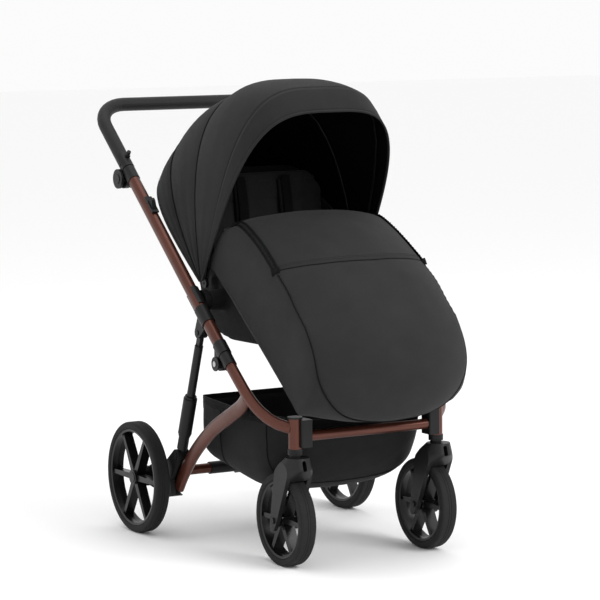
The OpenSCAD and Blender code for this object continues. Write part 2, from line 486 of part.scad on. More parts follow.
at() side(-1) color(dark) tyre(-rear_x, rear_y, rear_r, rear_tyre_w);  // rear_tyre_right
at() side(1) color(dark) tyre(-rear_x, rear_y, rear_r, rear_tyre_w);  // rear_tyre_left
seat_shell();
seat_liner();
harness();
harness_button();
bumper_bar();
boot_cover();
canopy_rear();
canopy_middle();
canopy_front();
canopy_visor();
canopy_bow_middle();
canopy_bow_front();
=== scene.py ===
import bmesh
import bpy
import json
import math
import numpy as np
from mathutils.bvhtree import BVHTree
from mathutils import Matrix, Vector, noise

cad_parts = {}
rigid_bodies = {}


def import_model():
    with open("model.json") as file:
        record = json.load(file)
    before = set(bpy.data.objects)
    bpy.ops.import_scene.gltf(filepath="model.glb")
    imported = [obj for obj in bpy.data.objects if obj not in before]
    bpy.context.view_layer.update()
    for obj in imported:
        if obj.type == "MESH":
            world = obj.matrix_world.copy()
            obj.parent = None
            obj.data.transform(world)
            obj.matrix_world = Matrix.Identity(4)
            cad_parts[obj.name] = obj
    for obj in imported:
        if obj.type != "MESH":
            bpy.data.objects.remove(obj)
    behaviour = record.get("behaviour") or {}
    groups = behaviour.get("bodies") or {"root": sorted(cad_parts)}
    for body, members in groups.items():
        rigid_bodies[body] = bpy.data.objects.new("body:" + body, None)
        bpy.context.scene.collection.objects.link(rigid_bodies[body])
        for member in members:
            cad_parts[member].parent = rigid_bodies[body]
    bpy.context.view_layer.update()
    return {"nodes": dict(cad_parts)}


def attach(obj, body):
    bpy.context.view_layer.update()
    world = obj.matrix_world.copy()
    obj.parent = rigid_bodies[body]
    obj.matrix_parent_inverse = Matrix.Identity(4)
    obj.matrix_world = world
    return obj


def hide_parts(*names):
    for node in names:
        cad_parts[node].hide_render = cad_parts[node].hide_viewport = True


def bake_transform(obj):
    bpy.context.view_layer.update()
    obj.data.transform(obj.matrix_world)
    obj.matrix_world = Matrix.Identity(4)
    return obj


for o in list(bpy.data.objects):
    bpy.data.objects.remove(o)
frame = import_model()
nodes = frame["nodes"]
scene = bpy.context.scene
OFF = 22.1  # the design's own shift along Y, in millimetres


def W(p):
    """A point of the design, in millimetres, as a point of the row frame."""
    return Vector((p[0] / 1000, (p[1] + OFF) / 1000, p[2] / 1000))


# ---------------------------------------------------------------- camera
A, E = math.radians(30.08), math.radians(6.32)
cam = bpy.data.cameras.new("camera")
cam.sensor_width, cam.lens = 36.0, 162.84
cam.clip_end = 60
cam_o = bpy.data.objects.new("camera", cam)
scene.collection.objects.link(cam_o)
back = Vector((-math.sin(A) * math.cos(E), -math.cos(A) * math.cos(E), math.sin(E)))
right = (-back).cross(Vector((0, 0, 1))).normalized()
up = right.cross(-back)
rl = math.radians(-0.598)
cx, cy = math.cos(rl) * right + math.sin(rl) * up, -math.sin(rl) * right + math.cos(rl) * up
m = Matrix((cx, cy, back)).transposed().to_4x4()
m.translation = Vector((-3.1598, -5.5274 + 0.0221, 1.2634))
cam_o.matrix_world = m
scene.camera = cam_o
scene.view_settings.view_transform = "Standard"


# ---------------------------------------------------------------- materials
def lin(c):
    c /= 255
    return c / 12.92 if c <= 0.04045 else ((c + 0.055) / 1.055) ** 2.4


SHADE = 0.37  # the studio light is strong, so cloth and plastic take a deeper colour than they show


def rgb(r, g, b, k=SHADE):
    return (lin(r) * k, lin(g) * k, lin(b) * k, 1)


def material(name, dark, light, rough, metallic=0.0, sheen=0.0, coat=0.0, kind="plastic", spec=0.5):
    """A node material: two close colours mixed by noise, roughness broken up, and a bump for its texture."""
    mt = bpy.data.materials.new(name)
    mt.use_nodes = True
    nt = mt.node_tree
    n, l = nt.nodes, nt.links
    b = n["Principled BSDF"]
    b.inputs["Metallic"].default_value = metallic
    b.inputs["Specular IOR Level"].default_value = spec
    if sheen:
        b.inputs["Sheen Weight"].default_value = sheen
        b.inputs["Sheen Roughness"].default_value = 0.45
        b.inputs["Sheen Tint"].default_value = (0.8, 0.8, 0.8, 1)
    if coat:
        b.inputs["Coat Weight"].default_value = coat
        b.inputs["Coat Roughness"].default_value = 0.25
    tc = n.new("ShaderNodeTexCoord")

    def tex(scale, detail=4.0, rough_=0.55, stretch=(1, 1, 1)):
        mp = n.new("ShaderNodeMapping")
        mp.inputs["Scale"].default_value = stretch
        l.new(tc.outputs["Object"], mp.inputs["Vector"])
        t = n.new("ShaderNodeTexNoise")
        t.inputs["Scale"].default_value = scale
        t.inputs["Detail"].default_value = detail
        t.inputs["Roughness"].default_value = rough_
        l.new(mp.outputs["Vector"], t.inputs["Vector"])
        return t

    def wave(scale, direction, distort=0.0):
        t = n.new("ShaderNodeTexWave")
        t.wave_type = "BANDS"
        t.bands_direction = direction
        t.inputs["Scale"].default_value = scale
        t.inputs["Distortion"].default_value = distort
        t.inputs["Detail"].default_value = 1
        l.new(tc.outputs["Object"], t.inputs["Vector"])
        return t

    def math_(op, a, b2):
        k = n.new("ShaderNodeMath")
        k.operation = op
        for i, v in enumerate((a, b2)):
            if isinstance(v, (int, float)):
                k.inputs[i].default_value = v
            else:
                l.new(v, k.inputs[i])
        return k.outputs[0]

    broad = tex(9, 3)
    fine = tex(900 if kind in ("fabric", "webbing") else 260, 3)
    mixf = math_("ADD", math_("MULTIPLY", broad.outputs["Fac"], 0.6), math_("MULTIPLY", fine.outputs["Fac"], 0.4))
    ramp = n.new("ShaderNodeValToRGB")
    ramp.color_ramp.elements[0].position, ramp.color_ramp.elements[1].position = 0.34, 0.66
    ramp.color_ramp.elements[0].color, ramp.color_ramp.elements[1].color = dark, light
    l.new(mixf, ramp.inputs["Fac"])
    l.new(ramp.outputs["Color"], b.inputs["Base Color"])
    rr = n.new("ShaderNodeMapRange")
    rr.inputs["To Min"].default_value, rr.inputs["To Max"].default_value = rough[0], rough[1]
    l.new(tex(34, 5).outputs["Fac"], rr.inputs["Value"])
    l.new(rr.outputs["Result"], b.inputs["Roughness"])
    bump = n.new("ShaderNodeBump")
    if kind == "fabric":
        # plain weave: warp along Z, weft along X and Y, about 0.9 mm a thread
        weave = math_("ADD", math_("MULTIPLY", wave(350, "Z", 0.6).outputs["Fac"], 1.0), math_("MULTIPLY", wave(350, "DIAGONAL", 0.6).outputs["Fac"], 1.0))
        height = math_("ADD", weave, math_("MULTIPLY", tex(60, 4).outputs["Fac"], 0.8))
        bump.inputs["Strength"].default_value, bump.inputs["Distance"].default_value = 0.35, 0.0005
    elif kind == "webbing":
        height = math_("ADD", wave(520, "Z", 0.2).outputs["Fac"], math_("MULTIPLY", wave(300, "X", 0.2).outputs["Fac"], 0.7))
        bump.inputs["Strength"].default_value, bump.inputs["Distance"].default_value = 0.6, 0.0006
    elif kind == "leather":
        v = n.new("ShaderNodeTexVoronoi")
        v.feature = "DISTANCE_TO_EDGE"
        v.inputs["Scale"].default_value = 620
        l.new(tc.outputs["Object"], v.inputs["Vector"])
        height = math_("ADD", math_("MINIMUM", math_("MULTIPLY", v.outputs["Distance"], 5.0), 1.0), math_("MULTIPLY", fine.outputs["Fac"], 0.4))
        bump.inputs["Strength"].default_value, bump.inputs["Distance"].default_value = 0.4, 0.0004
    elif kind == "metal":
        height = math_("ADD", tex(1400, 2).outputs["Fac"], math_("MULTIPLY", tex(40, 2).outputs["Fac"], 0.4))
        bump.inputs["Strength"].default_value, bump.inputs["Distance"].default_value = 0.12, 0.0002
    elif kind == "rubber":
        height = math_("ADD", tex(520, 5).outputs["Fac"], math_("MULTIPLY", tex(70, 3).outputs["Fac"], 0.6))
        bump.inputs["Strength"].default_value, bump.inputs["Distance"].default_value = 0.35, 0.0004
    else:
        height = math_("ADD", tex(700, 3).outputs["Fac"], math_("MULTIPLY", tex(90, 2).outputs["Fac"], 0.3))
        bump.inputs["Strength"].default_value, bump.inputs["Distance"].default_value = 0.22, 0.0003
    l.new(height, bump.inputs["Height"])
    l.new(bump.outputs["Normal"], b.inputs["Normal"])
    return mt


hood_m = material("hood_cloth", rgb(50, 50, 51), rgb(60, 60, 61), (0.72, 0.86), sheen=0.05, kind="fabric", spec=0.14)
boot_m = material("boot_cloth", rgb(56, 56, 57), rgb(67, 67, 67), (0.74, 0.88), sheen=0.06, kind="fabric", spec=0.16)
lining_m = material("lining_cloth", rgb(13, 13, 14), rgb(19, 19, 20), (0.8, 0.92), kind="fabric", spec=0.06)
seat_m = material("seat_cloth", rgb(44, 44, 45), rgb(56, 56, 57), (0.75, 0.9), sheen=0.05, kind="fabric", spec=0.14)
seat_back_m = material("seat_back_cloth", rgb(32, 32, 33), rgb(42, 42, 43), (0.75, 0.9), sheen=0.04, kind="fabric", spec=0.12)
basket_m = material("basket_cloth", rgb(32, 32, 34), rgb(44, 44, 46), (0.6, 0.8), sheen=0.04, kind="fabric", spec=0.14)
web_m = material("strap_webbing", rgb(20, 20, 21), rgb(30, 30, 31), (0.6, 0.75), kind="webbing", spec=0.12)
trim_m = material("trim_binding", rgb(20, 20, 21), rgb(29, 29, 30), (0.5, 0.7), kind="webbing", spec=0.1)
thread_m = material("thread", rgb(60, 60, 61), rgb(76, 76, 77), (0.6, 0.8), kind="webbing", spec=0.3)
brown_m = material("frame_brown_paint", rgb(88, 46, 34, 0.72), rgb(106, 58, 44, 0.72), (0.24, 0.36), metallic=0.6, coat=0.12, kind="metal")
black_m = material("black_plastic", rgb(30, 30, 31), rgb(39, 39, 40), (0.34, 0.5), kind="plastic", spec=0.24)
grey_m = material("grey_plastic", rgb(40, 40, 41), rgb(50, 50, 51), (0.34, 0.5), kind="plastic", spec=0.24)
rim_m = material("rim_plastic", rgb(26, 26, 27), rgb(35, 35, 36), (0.22, 0.36), kind="plastic", spec=0.26)
grip_m = material("grip_leatherette", rgb(32, 32, 33), rgb(43, 43, 44), (0.42, 0.58), kind="leather", spec=0.26)
steel_m = material("steel", rgb(165, 166, 168, 1), rgb(196, 197, 199, 1), (0.22, 0.38), metallic=1.0, kind="metal")
tyre_m = material("tyre_rubber", rgb(46, 46, 47), rgb(60, 60, 61), (0.62, 0.8), kind="rubber", spec=0.18)

finish = {}
for name in ("lower_tube_right", "lower_tube_left", "rear_legs", "front_cross_tube", "rear_axle_tube", "caster_posts", "upper_tubes"):
    finish[name] = brown_m
for name in nodes:
    if name.startswith(("fork_spring", "front_axle_bolts", "caster_stem", "hinge_pins", "rear_axle_pins")):
        finish[name] = steel_m
    elif "tyre" in name:
        finish[name] = tyre_m
    elif "rim" in name:
        finish[name] = rim_m
    elif name.startswith(("fork", "strut_rod", "handle_button", "harness_button")):
        finish[name] = grey_m
finish["handle_bar"] = grip_m
for name in ("caster_stem_right", "caster_stem_left", "front_axle_bolts_right", "front_axle_bolts_left"):
    finish[name] = black_m
for name, o in nodes.items():
    mt = finish.get(name, black_m)
    if not o.data.materials:
        o.data.materials.append(mt)
    for s in o.material_slots:
        s.material = mt


# ---------------------------------------------------------------- mesh helpers
def make(name, verts, faces, mats, smooth=True):
    me = bpy.data.meshes.new(name)
    me.from_pydata([tuple(v) for v in verts], [], faces)
    me.validate()
    me.update()
    o = bpy.data.objects.new(name, me)
    scene.collection.objects.link(o)
    for mt in mats:
        me.materials.append(mt)
    me.polygons.foreach_set("use_smooth", [smooth] * len(me.polygons))
    return o


def grid(name, rows, mats):
    """A sheet through rows of points given in design millimetres."""
    r, c = len(rows), len(rows[0])
    v = [W(p) for row in rows for p in row]
    f = [(i * c + j, i * c + j + 1, (i + 1) * c + j + 1, (i + 1) * c + j) for i in range(r - 1) for j in range(c - 1)]
    return make(name, v, f, mats)


def apply(o):
    """Fixes the modifiers into the mesh."""
    dg = bpy.context.evaluated_depsgraph_get()
    dg.update()
    me = bpy.data.meshes.new_from_object(o.evaluated_get(dg))
    o.modifiers.clear()
    o.data = me
    me.polygons.foreach_set("use_smooth", [True] * len(me.polygons))
    return o


def thicken(o, t, inside=None):
    s = o.modifiers.new("t", "SOLIDIFY")
    s.thickness, s.offset, s.use_even_offset = t, -1, False
    if inside is not None:
        s.material_offset = inside
        s.material_offset_rim = 0
    return apply(o)


def face_out(o, centre):
    """Makes the sheet's normals point away from a centre, so that it thickens inwards."""
    me = o.data
    c = W(centre)
    s = sum((p.normal.dot(p.center - c)) * p.area for p in me.polygons)
    if s < 0:
        me.flip_normals()
    return o


def frames(pts):
    """Tangents and a normal carried along without twist."""
    n = len(pts)
    tans = [(pts[min(i + 1, n - 1)] - pts[max(i - 1, 0)]).normalized() for i in range(n)]
    a = Vector((0, 0, 1)) if abs(tans[0].z) < 0.9 else Vector((1, 0, 0))
    nr = (a - a.dot(tans[0]) * tans[0]).normalized()
    out = []
    for t in tans:
        nr = (nr - nr.dot(t) * t).normalized()
        out.append((t, nr, t.cross(nr)))
    return out


def tube(pts, r, n=8, taper=True):
    """Vertices and faces of a closed round tube along points of the row frame."""
    v, f, k = [], [], len(pts)
    for i, (p, (t, a, b)) in enumerate(zip(pts, frames(pts))):
        q = r * (0.55 if taper and i in (0, k - 1) else 1)
        for j in range(n):
            g = 2 * math.pi * j / n
            v.append(p + q * (math.cos(g) * a + math.sin(g) * b))
    for i in range(k - 1):
        for j in range(n):
            f.append((i * n + j, i * n + (j + 1) % n, (i + 1) * n + (j + 1) % n, (i + 1) * n + j))
    f.append(tuple(reversed(range(n))))
    f.append(tuple(range((k - 1) * n, k * n)))
    return v, f


def strip(pts, normals, w, t, n=12, e=0.35):
    """Vertices and faces of a closed flat band of width w and thickness t, with soft edges."""
    v, f, k = [], [], len(pts)
    for i, p in enumerate(pts):
        tan = (pts[min(i + 1, k - 1)] - pts[max(i - 1, 0)]).normalized()
        nr = (normals[i] - normals[i].dot(tan) * tan).normalized()
        side = tan.cross(nr)
        for j in range(n):
            g = 2 * math.pi * (j + 0.5) / n
            c, s = math.cos(g), math.sin(g)
            v.append(p + side * (w / 2 * math.copysign(abs(c) ** e, c)) + nr * (t / 2 * math.copysign(abs(s) ** e, s)))
    for i in range(k - 1):
        for j in range(n):
            f.append((i * n + j, i * n + (j + 1) % n, (i + 1) * n + (j + 1) % n, (i + 1) * n + j))
    f.append(tuple(reversed(range(n))))
    f.append(tuple(range((k - 1) * n, k * n)))
    return v, f


def join(name, parts, mats):
    v, f = [], []
    for pv, pf in parts:
        b = len(v)
        v += list(pv)
        f += [tuple(i + b for i in face) for face in pf]
    return make(name, v, f, mats)


def resample(pts, step):
    a = np.array([tuple(p) for p in pts], float)
    d = np.concatenate([[0], np.cumsum(np.linalg.norm(np.diff(a, axis=0), axis=1))])
    n = max(2, int(round(d[-1] / step)) + 1)
    at = np.linspace(0, d[-1], n)
    return [Vector([float(np.interp(x, d, a[:, k])) for k in range(3)]) for x in at]


def stitches(line, normals, length=0.0042, gap=0.0026, r=0.00042, lift=0.0003):
    """Short raised stitches along a line on cloth."""
    out, pts = [], resample(line, (length + gap) / 2)
    src = np.array([tuple(p) for p in line])
    for i in range(0, len(pts) - 1, 2):
        p, q = pts[i], pts[i + 1]
        k = int(np.argmin(np.linalg.norm(src - np.array(tuple((p + q) / 2)), axis=1)))
        nr = normals[k]
        d = (q - p).normalized() * length / 2
        c = (p + q) / 2 + nr * lift
        out.append(tube([c - d - nr * r, c - d * 0.6 + nr * r * 0.5, c + d * 0.6 + nr * r * 0.5, c + d - nr * r], r, 5))
    return out


def catmull(pts, n):
    """A smooth line through 2-D points, n steps a span."""
    p = [np.array(q, float) for q in pts]
    p = [2 * p[0] - p[1]] + p + [2 * p[-1] - p[-2]]
    out = []
    for i in range(1, len(p) - 2):
        for j in range(n):
            t = j / n
            out.append(0.5 * (2 * p[i] + (p[i + 1] - p[i - 1]) * t + (2 * p[i - 1] - 5 * p[i] + 4 * p[i + 1] - p[i + 2]) * t ** 2 + (3 * p[i] - p[i - 1] - 3 * p[i + 1] + p[i + 2]) * t ** 3))
    out.append(p[-2])
    return np.array(out)


def even(line, n):
    d = np.concatenate([[0], np.cumsum(np.linalg.norm(np.diff(line, axis=0), axis=1))])
    at = np.linspace(0, d[-1], n)
    return np.stack([np.interp(at, d, line[:, k]) for k in range(line.shape[1])], axis=1)


def nz(x, y, z, s):
    """Smooth seeded noise from -1 to 1 at wavelength s millimetres."""
    return noise.noise(Vector((x / s + 7.3, y / s + 1.9, z / s + 4.1)))


# ---------------------------------------------------------------- canopy
CW, CY, CZ = 214.7, 15.0, 609.6
C0, C1, C2, C3, CV = (35.5, 428, 3.6), (48.7, 450, 2.8), (77.9, 448, 2.7), (112.5, 491, 3.5), (120.8, 468, 3.6)


def arch(a, w, r, e, g):
    c, s = math.cos(g), math.sin(g)
    q = 1 / ((abs(c) / w) ** e + (abs(s) / r) ** e) ** (1 / e)
    ar = math.radians(a)
    return (-q * c, CY + q * s * math.cos(ar), CZ + q * s * math.sin(ar))


def hood_point(A1, A2, t, g, push=0.0):
    a, r, e = (A1[k] + (A2[k] - A1[k]) * t for k in range(3))
    return arch(a, CW + push * 0.35, r + push, e, g)


NG = 121
GS = [math.radians(2.2 + 175.6 * i / (NG - 1)) for i in range(NG)]


def hood_panel(name, A1, A2, m_, billow, pinch0, pinch1, folds, seed):
    rows = []
    for i in range(m_ + 1):
        t = i / m_
        row = []
        for g in GS:
            low = abs(math.cos(g)) ** 1.5
            body = math.sin(math.pi * t)
            d = billow * max(body, 0) ** 0.75
            d -= pinch0 * math.exp(-(t * m_ / 1.4) ** 2) + pinch1 * math.exp(-((1 - t) * m_ / 1.4) ** 2)
            d += folds * low * body * math.sin(2 * math.pi * (2.3 * t + 0.35 * math.sin(g * 1.3 + seed)) + seed)
            p = hood_point(A1, A2, t, g)
            d += 1.1 * nz(p[0], p[1] + 90 * seed, p[2], 95) * body + 0.5 * nz(p[0], p[1], p[2] + 50 * seed, 34) * body
            row.append(hood_point(A1, A2, t, g, d))
        rows.append(row)
    o = face_out(grid(name, rows, [hood_m, lining_m]), (0, CY, CZ))
    return thicken(o, 0.0022, 1)


rear = hood_panel("hood_rear", C0, C1, 12, 3.0, 0.0, 1.8, 1.8, 0.4)
middle = hood_panel("hood_middle", C1, C2, 22, 3.2, 1.8, 0.9, 1.7, 1.7)
front = hood_panel("hood_front", C2, C3, 24, 3.0, 0.9, 0.0, 1.0, 2.9)
visor = hood_panel("hood_visor", C3, CV, 8, 0.4, 0.0, 0.0, 0.0, 3.3)
for o, node in ((rear, "canopy_rear"), (middle, "canopy_middle"), (front, "canopy_front"), (visor, "canopy_visor")):
    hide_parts(node)


def arch_line(c, push, g0=2.2, g1=177.8, n=150, da=0.0):
    return [W(arch(c[0] + da, CW + push * 0.6, c[1] + push, c[2], math.radians(g0 + (g1 - g0) * i / n))) for i in range(n + 1)]


def arch_normals(line):
    o = W((0, CY, CZ))
    out = []
    for i, p in enumerate(line):
        t = (line[min(i + 1, len(line) - 1)] - line[max(i - 1, 0)]).normalized()
        d = p - o
        out.append((d - d.dot(t) * t).normalized())
    return out


def seam_piece(name, c, push, r, body, mats, sides=(), lift=0.0006):
    parts = [tube(arch_line(c, push, 3, 177, 160), r, 8)]
    o = join(name, parts, mats)
    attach(o, body)
    return o


pip1 = seam_piece("hood_piping_rear", C1, 0.4, 0.0014, "seat", [trim_m])
pip2 = seam_piece("hood_piping_middle", C2, 0.3, 0.0012, "canopy_mid", [trim_m])
edge = join("hood_edge_binding", [strip(arch_line(CV, -0.9, 2.6, 177.4, 150), arch_normals(arch_line(CV, -0.9, 2.6, 177.4, 150)), 0.0065, 0.0040)], [hood_m])
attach(edge, "canopy_head")
rear_edge = join("hood_rear_binding", [strip(arch_line(C0, -0.9, 2.6, 177.4, 150), arch_normals(arch_line(C0, -0.9, 2.6, 177.4, 150)), 0.0065, 0.0040)], [hood_m])
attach(rear_edge, "seat")


def arch_stitches(name, c, da, push, body, g0=12, g1=168):
    ln = arch_line(c, push, g0, g1, 150, da)
    o = join(name, stitches(ln, arch_normals(ln)), [thread_m])
    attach(o, body)
    return o


st = [arch_stitches("hood_stitch_a", C1, -1.0, 0.5, "seat"), arch_stitches("hood_stitch_b", C2, 0.0, 1.9, "canopy_mid", 12, 168),
      arch_stitches("hood_stitch_c", CV, -1.5, 2.6, "canopy_head"), arch_stitches("hood_stitch_d", C0, 1.4, 1.6, "seat")]

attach(rear, "seat")
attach(visor, "canopy_head")


def blend_round_hinge(o):
    """Fabric across a hood hinge: fixes the panel's placement into its mesh."""
    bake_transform(o)


blend_round_hinge(middle)
blend_round_hinge(front)


def area_of(o):
    me = o.data
    me.calc_loop_triangles()
    co = np.array([v.co for v in me.vertices], float).reshape(-1, 3)
    t = np.array([x.vertices[:] for x in me.loop_triangles])
    return float(np.linalg.norm(np.cross(co[t[:, 1]] - co[t[:, 0]], co[t[:, 2]] - co[t[:, 0]]), axis=1).sum() / 2)


# ---------------------------------------------------------------- boot cover
SIDE = [(4, 657), (-34, 711), (-70, 738), (-120, 746), (-194, 715), (-284, 665), (-347, 626), (-392, 584), (-436, 544), (-466, 497), (-477, 453), (-466, 403), (-430, 364), (-404, 352)]
MID = [(-110, 768), (-150, 774), (-250, 742), (-340, 690), (-430, 620), (-500, 540), (-534, 480), (-540, 430), (-524, 376), (-486, 338), (-432, 328), (-386, 338)]
NU, NV = 90, 61
Sl = even(catmull(SIDE[2:], 10), NU)
Ml = even(catmull(MID, 10), NU)


SEAM = catmull([(-0.02, 0.69), (0.0, 0.70), (0.113, 0.75), (0.25, 0.79), (0.394, 0.875), (0.519, 0.945), (0.65, 0.972), (0.738, 0.955), (0.80, 0.875), (0.85, 0.62), (0.885, 0.33), (0.897, 0.0)], 10)
FLAP = 0.331  # where the cover's flap ends, at the middle


def seam_dist(u, v):
    """Distance in millimetres, roughly, from the front panel's seam."""
    d = np.hypot((SEAM[:, 0] - u) * 760, (SEAM[:, 1] - abs(v)) * 250)
    return float(d.min())


def in_panel(u, v):
    if u >= 0.897:
        return False
    i = int(np.searchsorted(SEAM[:, 0], u))
    return abs(v) < SEAM[min(i, len(SEAM) - 1), 1]


def boot_point(u, v, lift=0.0):
    """Front panel: u 0 at the opening to 1 under the toe, v -1 to 1 across."""
    th = math.pi / 2 * (1 - abs(v))
    x = math.copysign(1, v) * 197 * max(math.cos(th), 0) ** 0.8 if v else 0.0
    bl = math.sin(th) ** 1.6
    iu = u * (NU - 1)
    i = min(int(iu), NU - 2)
    f = iu - i
    s = Sl[i] * (1 - f) + Sl[i + 1] * f
    mm = Ml[i] * (1 - f) + Ml[i + 1] * f
    q = s * (1 - bl) + mm * bl
    t = (Ml[i + 1] - Ml[i]) * bl + (Sl[i + 1] - Sl[i]) * (1 - bl)
    t = t / np.linalg.norm(t)
    nrm = (t[1], -t[0])  # out of the cover, in Y and Z
    if nrm[0] * -1 + nrm[1] * 0.5 < 0 and u < 0.7:
        nrm = (-nrm[0], -nrm[1])
    k = lift + 2.6 * nz(x, q[0], q[1], 120) * bl + 1.2 * nz(x + 300, q[0], q[1], 48) * (0.3 + 0.7 * bl)
    # gathers running in from the toe seam and a soft hollow beside the side seams
    edge_ = 1 - abs(v)
    k += 1.3 * math.sin(u * 70 + 3 * nz(x, q[0], q[1], 80)) * math.exp(-(edge_ / 0.10) ** 2) * max(0, (u - 0.55) / 0.45) ** 1.2
    sd = seam_dist(u, v)
    k -= 2.4 * math.exp(-(sd / 5.5) ** 2)
    if in_panel(u, v):
        k += 2.2 * (1 - math.exp(-sd / 14))  # the front panel stands a little proud of the gusset
        f0 = FLAP + 0.045 * v * v
        k += 1.9 / (1 + math.exp((u - f0) * 420)) - 1.4 * math.exp(-((u - f0 - 0.006) / 0.006) ** 2)
    return (x, q[0] + nrm[0] * k, q[1] + nrm[1] * k), nrm


rows = []
for i in range(NU * 2):
    u = i / (NU * 2 - 1)
    rows.append([boot_point(u, -1 + 2 * j / (NV - 1))[0] for j in range(NV)])
top = grid("boot_cover", rows, [boot_m, lining_m])


def wall(sgn):
    """A side wall: the flat gusset between the side seam and the back edge of the cover, with a turned-in hem."""
    first = even(catmull(SIDE[:3], 10), 18)[:-1]
    rest_ = [boot_point(i / (NU * 2 - 1), sgn) [0] for i in range(NU * 2)]
    out = np.concatenate([first, np.array([q[1:] for q in rest_])])
    d = np.concatenate([[0], np.cumsum(np.linalg.norm(np.diff(out, axis=0), axis=1))])
    d /= d[-1]
    a, b = out[0], out[-1]
    base = np.array([a + (b - a) * k for k in d])
    rows_ = []
    for i in range(len(out)):
        row = []
        for j in range(26):
            c = min(j / 21, 1.0)
            p = out[i] * (1 - c) + base[i] * c
            dist = np.linalg.norm(p - out[i])
            x = 197 + 5.0 * (1 - math.exp(-dist / 9)) + 1.6 * nz(200 * sgn, p[0], p[1], 100) * min(1, dist / 40) + 0.8 * nz(200 * sgn, p[0] + 50, p[1], 36) * min(1, dist / 40)
            if j > 21:
                x -= (j - 21) * 6.0
                p = p + np.array([0.55, 0.83]) * (j - 21) * 0.4
            row.append((sgn * x, p[0], p[1]))
        rows_.append(row if sgn < 0 else row)
    return rows_


w_r, w_l = wall(-1), wall(1)
wr = grid("boot_wall_right", w_r, [boot_m, lining_m])
wl = grid("boot_wall_left", w_l, [boot_m, lining_m])


boot_area = [area_of(top), area_of(wr), area_of(wl)]
bm = bmesh.new()
for o in (top, wr, wl):
    bm.from_mesh(o.data)
bmesh.ops.remove_doubles(bm, verts=bm.verts, dist=0.0004)
bmesh.ops.recalc_face_normals(bm, faces=bm.faces)
# the rounded edge between front and gusset: the sewn corner relaxes
near_ = [v for v in bm.verts if abs(v.co.x) > 0.186 and not v.is_boundary]
for _ in range(6):
    bmesh.ops.smooth_vert(bm, verts=near_, factor=0.5, use_axis_x=True, use_axis_y=True, use_axis_z=True)
bm.to_mesh(top.data)
bm.free()
for o in (wr, wl):
    bpy.data.objects.remove(o)
top.data.polygons.foreach_set("use_smooth", [True] * len(top.data.polygons))
face_out(top, (0, -250, 560))
thicken(top, 0.0035, 1)
top.name = "boot_cover_cloth"
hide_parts("boot_cover")
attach(top, "seat")


def boot_line(pts, lift=0.0):
    ln = [W(boot_point(u, v, lift)[0]) for u, v in pts]
    nr = []
    for u, v in pts:
        p0, p1, p2 = W(boot_point(u, v)[0]), W(boot_point(min(u + 0.01, 1), v)[0]), W(boot_point(u, min(v + 0.01, 1) if v < 0.99 else v - 0.01)[0])
        k = (p1 - p0).cross(p2 - p0)
        if v >= 0.99:
            k = -k
        k.normalize()
        if k.dot(p0 - W((0, -250, 540))) < 0:
            k = -k
        nr.append(k)
    return ln, nr


boot_bits = []


def seam_uv(u0, u1, n, dv=0.0, sgn=1):
    """Points (u, v) along the front panel's seam between two values of u, n of them."""
    k = [i for i in range(len(SEAM)) if u0 <= SEAM[i, 0] <= u1]
    return [(float(a), sgn * float(b - dv)) for a, b in even(SEAM[k[0]:k[-1] + 1], n)]


